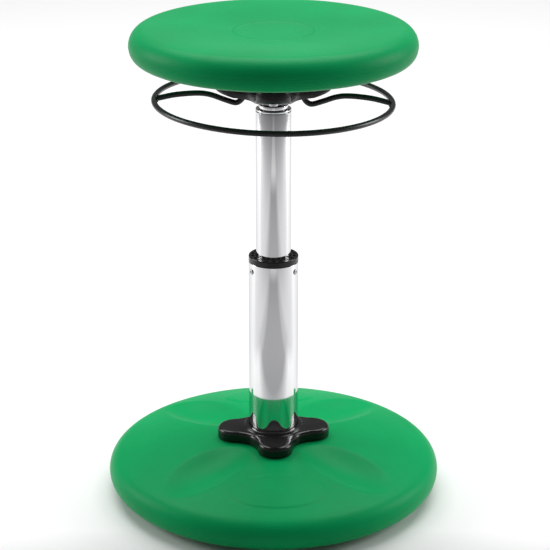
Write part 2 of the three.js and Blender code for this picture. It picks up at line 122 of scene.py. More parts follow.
SPIDER_BOTTOM = 478
HUB_BOTTOM = low("seat_spider").z
HUB_RADIUS = 16.5
HUB_FLARE = 38
ARM_TIP_RISE = 9
ARM_LEVEL_LENGTH = 10
CAVITY_LOW = (-41, -19, 476.3)
CAVITY_HIGH = (41, 7, 500)
ROD_SLOT_X = 33.5
ROD_SLOT_HALF = (6.5, 7)
ROD_SLOT_BOTTOM = 465
ROD_SLOT_TOP = 490
PIVOT_Y = -14
PIVOT_Z = 482
PIN_HOLE_RADIUS = 2.65
PIN_HOLE_HALF = 47
SEAT_BOLT_CIRCLE = 54
BOLT_COUNT = 4
BOLT_HOLE_RADIUS = 3.3
BOLT_RECESS_RADIUS = 5.6
BOLT_RECESS_TOP = 483.3

SEAT_RADIUS = high("seat_shell").x
SEAT_TOP = high("seat_shell").z
SEAT_DISH = 5
SEAT_DISH_RADIUS = 45
SEAT_UNDER = low("seat_shell").z
SEAT_UNDER_FLAT = 31
SEAT_EDGE_BOTTOM = 518
SEAT_OPENING = 24
SEAT_RIM_RADIUS = 19.3
SEAT_EDGE_RADIUS = 14.3
SEAT_EDGE_CENTRE = SEAT_RADIUS - SEAT_EDGE_RADIUS - 0.4
SEAT_UNDER_SLOPE = (SEAT_EDGE_BOTTOM - SEAT_UNDER) / (SEAT_EDGE_CENTRE - SEAT_UNDER_FLAT)

RING_RADIUS = 132.3
RING_Z = (low("lever_ring").z + high("lever_ring").z) / 2
ROD_RADIUS = 3.15
RING_ROLL = math.radians(1.15)
ROCKER_BOTTOM = low("lever_rocker").z

# ---- camera -------------------------------------------------------------------------------
CAMERA_DISTANCE = 2.04392
CAMERA_HEIGHT = 1.02248
CAMERA_DOWN = math.radians(20.51)
CAMERA_LENS = 124.48
CAMERA_SHIFT = (0.00275, 0.00893)
SENSOR_WIDTH = 36

# ---- colours and light --------------------------------------------------------------------
GREEN_DEEP = (0.0, 0.275, 0.08)
GREEN_LIGHT = (0.0, 0.315, 0.094)
FLOOR_PALE = (0.87, 0.87, 0.87)
# painted shade: grey of the floor band behind the object, which offsets the top lamp's bright pool there
FLOOR_BACK_PAINTED_SHADE = (0.7, 0.7, 0.7)
# painted shade: grey of the floor out to both sides, which the chrome mirrors at its edges
FLOOR_BESIDE_PAINTED_SHADE = (0.6, 0.6, 0.61)
# painted shade: grey of the floor strip in front of the object, which the chrome mirrors as a dark middle
# band
FLOOR_FRONT_PAINTED_SHADE = (0.36, 0.36, 0.37)
FLOOR_REACH = 12
FLOOR_DROP = 0.0005
WORLD_STRENGTH = 0.2
TOP_LIGHT_POWER = 235
SIDE_LIGHT_POWER = 36


# ---- node helpers -------------------------------------------------------------------------
def new_material(name):
    material = bpy.data.materials.new(name)
    material.use_nodes = True
    nodes = material.node_tree.nodes
    return material, nodes, material.node_tree.links, nodes["Principled BSDF"]


def noise(nodes, links, scale, detail=3, stretch=None):
    """Object-space noise; stretch scales each axis, for brushed or drawn surfaces."""
    coords = nodes.new("ShaderNodeTexCoord")
    texture = nodes.new("ShaderNodeTexNoise")
    texture.inputs["Scale"].default_value = scale
    texture.inputs["Detail"].default_value = detail
    source = coords.outputs["Object"]
    if stretch:
        mapping = nodes.new("ShaderNodeMapping")
        mapping.inputs["Scale"].default_value = stretch
        links.new(source, mapping.inputs["Vector"])
        source = mapping.outputs["Vector"]
    links.new(source, texture.inputs["Vector"])
    return texture.outputs["Fac"]


def between(nodes, links, factor, low_value, high_value, start=0.3, end=0.7):
    """Maps a factor to a range of plain values."""
    ramp = nodes.new("ShaderNodeMapRange")
    ramp.inputs["From Min"].default_value = start
    ramp.inputs["From Max"].default_value = end
    ramp.inputs["To Min"].default_value = low_value
    ramp.inputs["To Max"].default_value = high_value
    links.new(factor, ramp.inputs["Value"])
    return ramp.outputs["Result"]


def blend_colours(nodes, links, factor, first, second):
    mix = nodes.new("ShaderNodeMix")
    mix.data_type = "RGBA"
    mix.inputs["A"].default_value = (*first, 1)
    mix.inputs["B"].default_value = (*second, 1)
    links.new(factor, mix.inputs["Factor"])
    return mix.outputs["Result"]


def bump(nodes, links, height, strength, distance, base=None):
    node = nodes.new("ShaderNodeBump")
    node.inputs["Strength"].default_value = strength
    node.inputs["Distance"].default_value = distance
    links.new(height, node.inputs["Height"])
    if base:
        links.new(base, node.inputs["Normal"])
    return node.outputs["Normal"]


# ---- materials ----------------------------------------------------------------------------
def green_plastic():
    """Moulded polyethylene: an even green with a fine leathery grain and light scuffs."""
    material, nodes, links, shader = new_material("green_plastic")
    cloudy = between(nodes, links, noise(nodes, links, 9, 4), 0, 1, 0.35, 0.65)
    colour = blend_colours(nodes, links, cloudy, GREEN_DEEP, GREEN_LIGHT)
    links.new(colour, shader.inputs["Base Color"])
    grain = noise(nodes, links, 620, 2)
    waves = noise(nodes, links, 45, 2)
    fine = bump(nodes, links, grain, 0.35, 0.0004)
    links.new(bump(nodes, links, waves, 0.12, 0.001, fine), shader.inputs["Normal"])
    links.new(between(nodes, links, grain, 0.36, 0.5), shader.inputs["Roughness"])
    shader.inputs["Specular IOR Level"].default_value = 0.08
    shader.inputs["Sheen Weight"].default_value = 0.1
    shader.inputs["Sheen Roughness"].default_value = 0.25
    return material


def black_plastic():
    """Glass-filled nylon: near black, softly glossy, with a faint moulded texture."""
    material, nodes, links, shader = new_material("black_plastic")
    patchy = between(nodes, links, noise(nodes, links, 30, 4), 0, 1)
    colour = blend_colours(nodes, links, patchy, (0.0025, 0.0025, 0.0025), (0.006, 0.006, 0.006))
    links.new(colour, shader.inputs["Base Color"])
    grain = noise(nodes, links, 900, 2)
    links.new(bump(nodes, links, grain, 0.18, 0.0003), shader.inputs["Normal"])
    links.new(between(nodes, links, patchy, 0.18, 0.27, 0, 1), shader.inputs["Roughness"])
    shader.inputs["Specular IOR Level"].default_value = 0.4
    return material


def black_enamel():
    """Powder coat on the lever's rod: a slight orange-peel ripple."""
    material, nodes, links, shader = new_material("black_enamel")
    peel = noise(nodes, links, 480, 2)
    tone = between(nodes, links, noise(nodes, links, 25, 3), 0, 1)
    links.new(blend_colours(nodes, links, tone, (0.002, 0.002, 0.002), (0.006, 0.006, 0.006)),
              shader.inputs["Base Color"])
    links.new(bump(nodes, links, peel, 0.25, 0.0003), shader.inputs["Normal"])
    links.new(between(nodes, links, peel, 0.24, 0.34), shader.inputs["Roughness"])
    return material


def bright_chrome():
    """Plated tube: mirror bright, with faint drawing marks along its length."""
    material, nodes, links, shader = new_material("bright_chrome")
    marks = noise(nodes, links, 160, 3, (1, 1, 0.02))
    smears = noise(nodes, links, 14, 4)
    links.new(blend_colours(nodes, links, smears, (0.76, 0.765, 0.775), (0.84, 0.84, 0.845)),
              shader.inputs["Base Color"])
    shader.inputs["Metallic"].default_value = 1
    shader.inputs["Specular Tint"].default_value = (0.72, 0.72, 0.73, 1)
    links.new(between(nodes, links, smears, 0.03, 0.075), shader.inputs["Roughness"])
    links.new(bump(nodes, links, marks, 0.012, 0.0002), shader.inputs["Normal"])
    return material


def plain_steel():
    """Zinc-plated fasteners and plates."""
    material, nodes, links, shader = new_material("plain_steel")
    marks = noise(nodes, links, 300, 4, (1, 0.15, 1))
    links.new(blend_colours(nodes, links, marks, (0.42, 0.42, 0.44), (0.6, 0.6, 0.61)),
              shader.inputs["Base Color"])
    shader.inputs["Metallic"].default_value = 1
    links.new(between(nodes, links, marks, 0.26, 0.44), shader.inputs["Roughness"])
    links.new(bump(nodes, links, marks, 0.1, 0.0002), shader.inputs["Normal"])
    return material


def soft_rubber():
    """Matt black rubber with a dusty bloom."""
    material, nodes, links, shader = new_material("soft_rubber")
    bloom = noise(nodes, links, 60, 5)
    links.new(blend_colours(nodes, links, bloom, (0.014, 0.014, 0.014), (0.035, 0.034, 0.033)),
              shader.inputs["Base Color"])
    links.new(between(nodes, links, bloom, 0.7, 0.92), shader.inputs["Roughness"])
    links.new(bump(nodes, links, noise(nodes, links, 700, 3), 0.4, 0.0004), shader.inputs["Normal"])
    return material


def multiply(nodes, links, first, second):
    node = nodes.new("ShaderNodeMath")
    node.operation = "MULTIPLY"
    links.new(first, node.inputs[0])
    links.new(second, node.inputs[1])
    return node.outputs["Value"]


def blend_over(nodes, links, factor, under, colour):
    """Lays a plain colour over an earlier result by a factor."""
    mix = nodes.new("ShaderNodeMix")
    mix.data_type = "RGBA"
    mix.inputs["B"].default_value = (*colour, 1)
    links.new(under, mix.inputs["A"])
    links.new(factor, mix.inputs["Factor"])
    return mix.outputs["Result"]


def floor_with_painted_shade():
    """Studio sweep: pale and matt, with softly greyer painted shade behind the object, beside it and in
    front of it.
    """
    material, nodes, links, shader = new_material("floor_with_painted_shade")
    coords = nodes.new("ShaderNodeTexCoord")
    split = nodes.new("ShaderNodeSeparateXYZ")
    links.new(coords.outputs["Object"], split.inputs["Vector"])
    along = split.outputs["Y"]
    aside = nodes.new("ShaderNodeMath")
    aside.operation = "ABSOLUTE"
    links.new(split.outputs["X"], aside.inputs[0])
    across = aside.outputs["Value"]
    # painted shade: a greyer band behind the object, where the top lamp's pool lights the floor most
    painted_back_shade = multiply(nodes, links, between(nodes, links, along, 0, 1, -0.15, 0.4),
                      between(nodes, links, along, 1, 0, 1.5, 4))
    # painted shade: greyer floor out to both sides, level with the object and in front of it
    painted_side_shade = multiply(nodes, links, between(nodes, links, along, 1, 0, -0.05, 0.25),
                      between(nodes, links, across, 0, 1, 0.4, 0.52))
    # painted shade: a grey strip on the floor in front of the object, faded out before the camera, for the
    # chrome tubes to mirror
    painted_front_shade = multiply(nodes, links, between(nodes, links, along, 1, 0, -0.3, -0.12),
                     between(nodes, links, across, 1, 0, 0.38, 0.64))
    painted_front_shade = multiply(nodes, links, painted_front_shade, between(nodes, links, along, 0, 1, -1.9, -1.4))
    floor_with_back_shade = blend_colours(nodes, links, painted_back_shade, FLOOR_PALE, FLOOR_BACK_PAINTED_SHADE)
    floor_with_side_shade = blend_over(nodes, links, painted_side_shade, floor_with_back_shade, FLOOR_BESIDE_PAINTED_SHADE)
    links.new(blend_over(nodes, links, painted_front_shade, floor_with_side_shade, FLOOR_FRONT_PAINTED_SHADE), shader.inputs["Base Color"])
    shader.inputs["Roughness"].default_value = 0.9
    return material


GREEN = green_plastic()
BLACK = black_plastic()
ENAMEL = black_enamel()
CHROME = bright_chrome()
STEEL = plain_steel()
RUBBER = soft_rubber()
SLOT_LOOK = {
    "green_plastic": GREEN, "rubber": RUBBER, "black_plastic": BLACK,
    "chrome": CHROME, "black_steel": ENAMEL, "steel": STEEL,
}


def dress_cad_nodes():
    for entry in frame["record"]["subparts"]:
        mesh = frame["nodes"][entry["node"]].data
        mesh.materials.clear()
        mesh.materials.append(SLOT_LOOK[entry["material_slot"]])


# ---- mesh helpers -------------------------------------------------------------------------
def mesh_piece(name, points, faces, slot, body, stands_for=(), sharp=35):
    """Makes a smooth-shaded piece from points in millimetres and lets it ride on a body."""
    mesh = bpy.data.meshes.new(name)
    mesh.from_pydata([Vector(p) * MM for p in points], [], faces)
    mesh.validate()
    for polygon in mesh.polygons:
        polygon.use_smooth = True
    mesh.set_sharp_from_angle(angle=math.radians(sharp))
    mesh.materials.append(SLOT_LOOK[slot])
    piece = bpy.data.objects.new(name, mesh)
    bpy.context.scene.collection.objects.link(piece)
    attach(piece, body)
    if stands_for:
        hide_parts(*stands_for)
    return piece


def ring_body(rings, segments):
    """Points and faces of a closed body through rings; a ring maps an angle to (radius, height)."""
    points = []
    for ring in rings:
        for j in range(segments):
            angle = j * TURN / segments
            radius, height = ring(angle)
            points.append((radius * math.cos(angle), radius * math.sin(angle), height))
    faces = []
    for i in range(len(rings)):
        here, above = i * segments, ((i + 1) % len(rings)) * segments
        for j in range(segments):
            k = (j + 1) % segments
            faces.append((here + j, here + k, above + k, above + j))
    return points, faces


def revolved(outline, segments):
    """Closed body turned about Z from (radius, height) pairs that run anticlockwise.

    An outline that starts on the axis also ends there; any other one closes on itself.
    """
    points, faces, rows = [], [], []
    for radius, height in outline:
        if radius < 1e-6:
            rows.append([len(points)] * segments)
            points.append((0, 0, height))
            continue
        rows.append(list(range(len(points), len(points) + segments)))
        for j in range(segments):
            angle = j * TURN / segments
            points.append((radius * math.cos(angle), radius * math.sin(angle), height))
    on_axis = outline[0][0] < 1e-6
    for i in range(len(rows) - (1 if on_axis else 0)):
        here, above = rows[i], rows[(i + 1) % len(rows)]
        for j in range(segments):
            k = (j + 1) % segments
            corners = []
            for corner in (here[j], here[k], above[k], above[j]):
                if corner not in corners:
                    corners.append(corner)
            if len(corners) > 2:
                faces.append(tuple(corners))
    return points, faces


def arc(radius, height, size, start, end, steps):
    """Points of an arc in the outline plane; angles in degrees."""
    result = []
    for k in range(steps + 1):
        angle = math.radians(start + (end - start) * k / steps)
        result.append((radius + size * math.cos(angle), height + size * math.sin(angle)))
    return result


def rounded_tube(inner, outer, bottom, top, edge, segments):
    """A tube whose four edges are rounded by edge."""
    outline = arc(inner + edge, bottom + edge, edge, 180, 270, 4)
    outline += arc(outer - edge, bottom + edge, edge, -90, 0, 4)
    outline += arc(outer - edge, top - edge, edge, 0, 90, 4)
    outline += arc(inner + edge, top - edge, edge, 90, 180, 4)
    return revolved(outline, segments)


def swept_rod(path, radius, sides):
    """Points and faces of a round rod along a list of points, with flat ends."""
    points, faces = [], []
    side = None
    for i, place in enumerate(path):
        ahead = path[min(i + 1, len(path) - 1)] - path[max(i - 1, 0)]
        ahead.normalize()
        if side is None:
            side = ahead.orthogonal().normalized()
        side = (side - ahead * side.dot(ahead)).normalized()
        other = ahead.cross(side)
        for j in range(sides):
            angle = j * TURN / sides
            points.append(place + radius * (math.cos(angle) * side + math.sin(angle) * other))
    for i in range(len(path) - 1):
        for j in range(sides):
            k = (j + 1) % sides
            faces.append((i * sides + j, i * sides + k, (i + 1) * sides + k, (i + 1) * sides + j))
    faces.append(tuple(reversed(range(sides))))
    faces.append(tuple(range((len(path) - 1) * sides, len(path) * sides)))
    return points, faces


def smooth_path(corners, steps):
    """Catmull-Rom curve through given corners."""
    padded = [2 * corners[0] - corners[1], *corners, 2 * corners[-1] - corners[-2]]
    path = []
    for a, b, c, d in zip(padded, padded[1:], padded[2:], padded[3:]):
        for k in range(steps):
            t = k / steps
            path.append(0.5 * (2 * b + (c - a) * t + (2 * a - 5 * b + 4 * c - d) * t * t
                               + (3 * b - a - 3 * c + d) * t ** 3))
    return path + [corners[-1]]


def cut_away(piece, cutters):
    """Subtracts helper solids from a piece for good."""
    for points, faces in cutters:
        mesh = bpy.data.meshes.new("cutter")
        mesh.from_pydata([Vector(p) * MM for p in points], [], faces)
        helper = bpy.data.objects.new("cutter", mesh)
        bpy.context.scene.collection.objects.link(helper)
        modifier = piece.modifiers.new("cut", "BOOLEAN")
        modifier.object = helper
        modifier.operation = "DIFFERENCE"
        modifier.solver = "EXACT"
        bpy.context.view_layer.update()
        graph = bpy.context.evaluated_depsgraph_get()
        result = bpy.data.meshes.new_from_object(piece.evaluated_get(graph))
        piece.modifiers.clear()
        piece.data = result
        bpy.data.objects.remove(helper)
    for polygon in piece.data.polygons:
        polygon.use_smooth = True
    piece.data.set_sharp_from_angle(angle=math.radians(35))


def placed(solid, matrix):
    """A solid's points moved by a matrix."""
    points, faces = solid
    return [matrix @ Vector(p) for p in points], faces


def spin(angle):
    return Matrix.Rotation(angle, 4, "Z")


# ---- base ---------------------------------------------------------------------------------
def smoothstep(value):
    """Soft step from 0 to 1."""
    value = min(1, max(0, value))
    return value * value * (3 - 2 * value)


def dimple(x, y):
    """Depth of the four oval scoops on the diagonals."""
    radius = math.hypot(x, y)
    quarter = TURN / 4
    angle = math.atan2(y, x) - BASE_YAW - quarter / 2
    offset = angle - round(angle / quarter) * quarter
    centre = (DIMPLE_INNER + DIMPLE_OUTER) / 2
    along = (radius * math.cos(offset) - centre) / (DIMPLE_OUTER - centre)
    across = radius * math.sin(offset) / DIMPLE_HALF_WIDTH
    return DIMPLE_DEPTH * max(0, 1 - along * along - across * across) ** 1.3


def oval(x, y):
    """Rise of the raised lip round the two blank oval panels."""
    turned_x = x * math.cos(BASE_YAW) + y * math.sin(BASE_YAW)
    turned_y = y * math.cos(BASE_YAW) - x * math.sin(BASE_YAW)
    reach = math.hypot(turned_x / OVAL_HALF_LENGTH, (abs(turned_y) - OVAL_RADIUS) / OVAL_HALF_WIDTH)
    edge = 0.045
    return OVAL_RISE * smoothstep((1 - reach) / edge)


def dome(radius, drop, detail):
    """A ring of the dome, dropped by a wall's thickness or with the ovals' detail."""
    def ring(angle):
        x, y = radius * math.cos(angle), radius * math.sin(angle)
        fall = DOME_DROP * max(0, radius - DOME_FLAT_RADIUS) ** 2
        return radius, DOME_TOP - drop - fall - dimple(x, y) + detail * oval(x, y)
    return ring


def flat_ring(radius, height):
    return lambda angle: (radius, height)


def spread(start, end, steps):
    return [start + (end - start) * k / steps for k in range(steps + 1)]


def build_base():
    ledge = PAD_THICKNESS + GAP
    rim_start, rim_end = -79, 76
    rings = [flat_ring(BASE_OPENING, ledge), flat_ring(PAD_RADIUS + GAP, ledge)]
    for radius in spread(PAD_RADIUS + GAP, RIM_CENTRE - 8, 12):
        rings.append(flat_ring(radius, radius * radius / (2 * ROCKER_RADIUS)))
    outer = arc(RIM_CENTRE, BASE_RIM_Z, BASE_RIM_RADIUS, rim_start, rim_end, 40)
    rings += [flat_ring(*p) for p in outer]
    bore = SLEEVE_RADIUS + 0.5
    for radius in spread(DOME_OUTER_RADIUS, DIMPLE_INNER, 110):
        rings.append(dome(radius, 0, 1))
    for radius in spread(46, bore + 1, 6):
        rings.append(dome(radius, 0, 0))
    rings.append(dome(bore, 1, 0))
    rings.append(dome(bore, WALL, 0))
    for radius in spread(DIMPLE_INNER, DOME_INNER_WALL_RADIUS, 30):
        rings.append(dome(radius, WALL, 0))
    inner = arc(RIM_CENTRE, BASE_RIM_Z, BASE_RIM_RADIUS - WALL, rim_end, rim_start, 16)
    rings += [flat_ring(*p) for p in inner]
    rings.append(flat_ring(PAD_RADIUS + 10, ledge + WALL))
    rings.append(flat_ring(BASE_OPENING, ledge + WALL))
    points, faces = ring_body(rings, 360)
    mesh_piece("base_moulding", points, faces, "green_plastic", "base", ["base_shell"], 50)


def build_pad():
    """Rubber pad with round grooves in its underside."""
    outline = [(0, 0), (12, 0)]
    for start in PAD_GROOVES:
        outline += [(start, 0), (start + 0.6, PAD_GROOVE_DEPTH)]
        outline += [(start + 2.4, PAD_GROOVE_DEPTH), (start + 3, 0)]
    outline += arc(PAD_RADIUS - 1.2, 1.2, 1.2, -90, 0, 5)
    outline += arc(PAD_RADIUS - 0.5, PAD_THICKNESS - 0.5, 0.5, 0, 90, 3)
    outline.append((0, PAD_THICKNESS))
    points, faces = revolved(outline, 160)
    mesh_piece("pad_moulding", points, faces, "rubber", "base", ["grip_pad"])


# ---- four-lobed brackets ------------------------------------------------------------------
def star_radius(angle, inset):
    """Outline of a four-lobed bracket: round lobes on the axes, joined by hollow curves."""
    quarter = TURN / 4
    offset = abs(angle - round(angle / quarter) * quarter)
    centre = STAR_REACH - STAR_LOBE
    edge = STAR_LOBE_ANGLE

    def lobe(a):
        return centre * math.cos(a) + math.sqrt(STAR_LOBE ** 2 - (centre * math.sin(a)) ** 2)

    if offset < edge:
        return lobe(offset) - inset
    part = (offset - edge) / (quarter / 2 - edge)
    return lobe(edge) + (STAR_VALLEY - lobe(edge)) * (2 * part - part * part) - inset


def star_edge(inset, height):
    return lambda angle: (star_radius(angle - BASE_YAW, inset), height)


def build_star():
    bottom = DOME_TOP + GAP
    bore = SLEEVE_RADIUS + GAP
    rings = [flat_ring(bore, bottom), star_edge(STAR_FOOT, bottom)]
    for out, up in ((0.7, 0.2), (1.2, 0.7), (STAR_FOOT, STAR_FOOT)):
        rings.append(star_edge(STAR_FOOT - out, bottom + up))
    for out, up in arc(0, 0, STAR_EDGE_ROUND, 0, 90, 9):
        rings.append(star_edge(STAR_EDGE_ROUND - out, STAR_TOP - STAR_EDGE_ROUND + up))
    for step in (6, 8):
        rings.append(star_edge(step, STAR_TOP + 0.02 * step))
    rings += [flat_ring(bore + 6.4, STAR_TOP + 0.2), flat_ring(bore + 5.4, STAR_TOP + 0.9)]
    rings += [flat_ring(*p) for p in arc(bore + 3.4, STAR_LIP_TOP - 1.4, 1.4, 0, 90, 5)]
    rings += [flat_ring(*p) for p in arc(bore + 0.6, STAR_LIP_TOP - 0.6, 0.6, 90, 180, 3)]
    points, faces = ring_body(rings, 288)
    mesh_piece("star_casting", points, faces, "black_plastic", "base", ["star_bracket"], 50)


def seat_under(radius):
    """Height of the seat's underside, flat at the middle and rising outwards."""
    return SEAT_UNDER + SEAT_UNDER_SLOPE * max(0, radius - SEAT_UNDER_FLAT)


def spider_top(angle, share):
    radius = SEAT_UNDER_FLAT + share * (star_radius(angle, 1) - SEAT_UNDER_FLAT)
    return radius, seat_under(radius) - GAP


def build_spider():
    """Casting with a conical hub; its four arms lie along the seat's underside and their tips rise."""
    bore = NECK_RADIUS + GAP
    top = SEAT_UNDER - GAP
    slope = ARM_TIP_RISE / (STAR_REACH - HUB_FLARE)

    def upper(inset, drop):
        def ring(angle):
            radius = star_radius(angle, inset)
            return radius, seat_under(radius) - GAP - drop
        return ring

    def lower(part, lift):
        def ring(angle):
            reach = part * (star_radius(angle, 0) - HUB_FLARE)
            rise = slope * max(0, reach - ARM_LEVEL_LENGTH)
            return HUB_FLARE + reach, SPIDER_BOTTOM + lift + rise
        return ring

    rings = [flat_ring(bore, HUB_BOTTOM + 0.6), flat_ring(bore + 0.6, HUB_BOTTOM)]
    rings += [flat_ring(*p) for p in arc(HUB_RADIUS - 1, HUB_BOTTOM + 1, 1, -90, -20, 4)]
    rings += [flat_ring(HUB_FLARE - 2, SPIDER_BOTTOM - 0.9), flat_ring(HUB_FLARE, SPIDER_BOTTOM)]
    rings += [lower(part, 0) for part in spread(0.1, 0.86, 8)]
    for reach, height in arc(0, 0, 1, -75, 0, 6):
        rings.append(lower(0.87 + 0.13 * reach, 3.5 * (1 + height)))
    rings += [upper(0, 1), upper(0.3, 0.3), upper(1, 0)]
    rings += [lambda angle, share=share: spider_top(angle, share) for share in (0.75, 0.5, 0.25)]
    rings += [flat_ring(SEAT_UNDER_FLAT, top), flat_ring(bore, top)]
    points, faces = ring_body(rings, 288)
    piece = mesh_piece("spider_casting", points, faces, "black_plastic", "column", ["seat_spider"], 50)
    cut_away(piece, [box_solid(CAVITY_LOW, CAVITY_HIGH), *rod_slots(), pin_hole(), *bolt_recesses()])


def rod_slots():
    """Where the two ends of the lever's rod go up into the hub."""
    half_x, half_y = ROD_SLOT_HALF
    slots = []
    for side in (-1, 1):
        middle = side * ROD_SLOT_X
        lowest = (middle - half_x, -half_y, ROD_SLOT_BOTTOM)
        slots.append(box_solid(lowest, (middle + half_x, half_y, ROD_SLOT_TOP)))
    return slots


def pin_hole():
    place = Matrix.Translation((0, PIVOT_Y, PIVOT_Z)) @ Matrix.Rotation(math.pi / 2, 4, "Y")
    outline = [(0, -PIN_HOLE_HALF), (PIN_HOLE_RADIUS, -PIN_HOLE_HALF)]
    outline += [(PIN_HOLE_RADIUS, PIN_HOLE_HALF), (0, PIN_HOLE_HALF)]
    return placed(revolved(outline, 32), place)


def bolt_place(k):
    return spin(k * TURN / BOLT_COUNT) @ Matrix.Translation((SEAT_BOLT_CIRCLE, 0, 0))


def bolt_recesses():
    """Holes through the arms with a wide recess for each bolt's head."""
    outline = [(0, 470), (BOLT_RECESS_RADIUS, 470), (BOLT_RECESS_RADIUS, BOLT_RECESS_TOP)]
    outline += [(BOLT_HOLE_RADIUS, BOLT_RECESS_TOP), (BOLT_HOLE_RADIUS, 505), (0, 505)]
    return [placed(revolved(outline, 32), bolt_place(k)) for k in range(BOLT_COUNT)]


def box_solid(lowest, highest):
    xs, ys, zs = zip(lowest, highest)
    points = [(x, y, z) for z in zs for y in ys for x in xs]
    faces = [(0, 2, 3, 1), (4, 5, 7, 6), (0, 1, 5, 4), (2, 6, 7, 3), (0, 4, 6, 2), (1, 3, 7, 5)]
    return points, faces


# ---- column -------------------------------------------------------------------------------
def build_tubes():
    inner = SLEEVE_RADIUS - SLEEVE_WALL
    points, faces = rounded_tube(inner, SLEEVE_RADIUS, SLEEVE_BOTTOM, SLEEVE_TOP, 0.4, 192)
    sleeve = mesh_piece("sleeve_tube", points, faces, "chrome", "base", ["lower_sleeve"])
    start, end = inner - 4, SLEEVE_RADIUS + 4
    hole = revolved([(0, start), (SCREW_HOLE_RADIUS, start), (SCREW_HOLE_RADIUS, end), (0, end)], 32)
    cut_away(sleeve, [placed(hole, screw_place(k)) for k in range(SCREW_COUNT)])
    points, faces = rounded_tube(TUBE_RADIUS - TUBE_WALL, TUBE_RADIUS, TUBE_BOTTOM, TUBE_TOP, 0.3, 160)
    mesh_piece("column_tube", points, faces, "chrome", "column", ["upper_tube"])


def screw_place(k):
    """Turns a solid that stands along +Z so that it points out of the sleeve at screw k."""
    angle = TURN / 4 + k * TURN / SCREW_COUNT
    return Matrix.Translation((0, 0, SCREW_Z)) @ spin(angle) @ Matrix.Rotation(math.pi / 2, 4, "Y")


def build_collar():
    """Guide collar: its flange covers the sleeve's rim and has a row of slots."""
    inner = TUBE_RADIUS + GAP
    outer = SLEEVE_RADIUS - SLEEVE_WALL - GAP
    outline = [(inner, BUSHING_BOTTOM), (outer, BUSHING_BOTTOM), (outer, SLEEVE_TOP + GAP)]
    outline += [(SLEEVE_RADIUS - 0.3, SLEEVE_TOP + GAP), (SLEEVE_RADIUS, SLEEVE_TOP + 0.6)]
    outline += arc(SLEEVE_RADIUS - 1, COLLAR_TOP - 1, 1, 0, 90, 6)
    outline += arc(inner + 0.7, COLLAR_TOP - 0.7, 0.7, 90, 180, 5)
    points, faces = revolved(outline, 144)
    collar = mesh_piece("collar_moulding", points, faces, "black_plastic", "base", ["guide_bushing"])
    slot = box_solid((inner + 2.1, -2.3, COLLAR_TOP - 3), (inner + 5.1, 2.3, COLLAR_TOP + 3))
    cutters = [placed(slot, spin((k + 0.5) * TURN / BUSHING_SLOTS)) for k in range(BUSHING_SLOTS)]
    cut_away(collar, cutters)


def build_screws():
    """Small pan heads with a hexagon socket."""
    seat = SLEEVE_RADIUS + GAP
    outline = [(0, TUBE_RADIUS + 2.3), (2, TUBE_RADIUS + 2.3), (2, seat), (3.2, seat)]
    outline += arc(2.5, seat + 0.1, 0.7, 0, 90, 5)
    outline.append((0, seat + 0.8))
    socket = [(0, seat - 0.6), (1.3, seat - 0.6), (1.3, seat + 3), (0, seat + 3)]
    for k in range(SCREW_COUNT):
        points, faces = placed(revolved(outline, 40), screw_place(k))
        node = f"bushing_screw_{k + 1}"
        screw = mesh_piece(f"collar_screw_{k + 1}", points, faces, "steel", "base", [node])
        cut_away(screw, [placed(revolved(socket, 6), screw_place(k))])


def build_cap():
    """Turned cap: a washer on the tube with a boss up to the hub."""
    base = TUBE_TOP + GAP
    bore = NECK_RADIUS + GAP
    outline = [(bore, base + 0.4), (bore + 0.4, base)]
    outline += arc(TUBE_RADIUS - 1, base + 1, 1, -90, 0, 5)
    outline += arc(TUBE_RADIUS - 1, base + 1.8, 1, 0, 80, 4)
    outline += [(HUB_RADIUS + 0.5, base + 3.1), (HUB_RADIUS, base + 3.6)]
    outline += arc(HUB_RADIUS - 0.5, CAP_TOP - 0.5, 0.5, 0, 90, 4)
    outline += [(bore + 0.4, CAP_TOP), (bore, CAP_TOP - 0.4)]
    points, faces = revolved(outline, 128)
    mesh_piece("cap_turning", points, faces, "chrome", "column", ["top_cap"])


# ---- lever --------------------------------------------------------------------------------
def build_ring():
    roll = Matrix.Translation((0, 0, RING_Z)) @ Matrix.Rotation(RING_ROLL, 4, "Y")
    sides = 24
    outline = arc(RING_RADIUS, 0, ROD_RADIUS, 180, 540 - 360 / sides, sides - 1)
    points, faces = placed(revolved(outline, 256), roll)
    mesh_piece("ring_rod", points, faces, "black_steel", "lever", ["lever_ring"])


def arm_path(side):
    """Route of one arm, from the ring over a crest and under a dip up into the hub."""
    def rail(x, rise):
        return Vector((side * x, 0, RING_Z - side * x * math.sin(RING_ROLL) + rise))
    corners = [rail(RING_RADIUS - 3.4, 0.2), rail(RING_RADIUS - 24, 4.8), rail(85, 7), rail(70, 5.6),
               rail(54, 0.2), rail(42, -3), rail(35.4, 0.8), rail(33.2, 6.4)]
    corners.append(Vector((side * 33, 0, ROCKER_BOTTOM - GAP)))
    return smooth_path(corners, 12)


def build_arms():
    for side, word in ((-1, "left"), (1, "right")):
        points, faces = swept_rod(arm_path(side), ROD_RADIUS, 24)
        mesh_piece(f"arm_rod_{word}", points, faces, "black_steel", "lever", [f"lever_arm_{word}"], 60)
        height = RING_Z - side * RING_RADIUS * math.sin(RING_ROLL)
        build_weld(f"arm_weld_{word}", Vector((side * (RING_RADIUS - 3.6), 0, height)))


def build_weld(name, place):
    """A lumpy bead where an arm's end meets the ring."""
    outline = [(0, -1.1)] + arc(ROD_RADIUS + 0.1, 0, 1.1, -90, 90, 8) + [(0, 1.1)]
    points, faces = revolved(outline, 48)
    lumps = 11
    lumpy = []
    for x, y, z in points:
        angle = math.atan2(y, x)
        swell = 1 + 0.05 * math.sin(lumps * angle)
        lumpy.append(place + Vector((z, x * swell, y * swell)))
    mesh_piece(name, lumpy, faces, "black_steel", "lever")


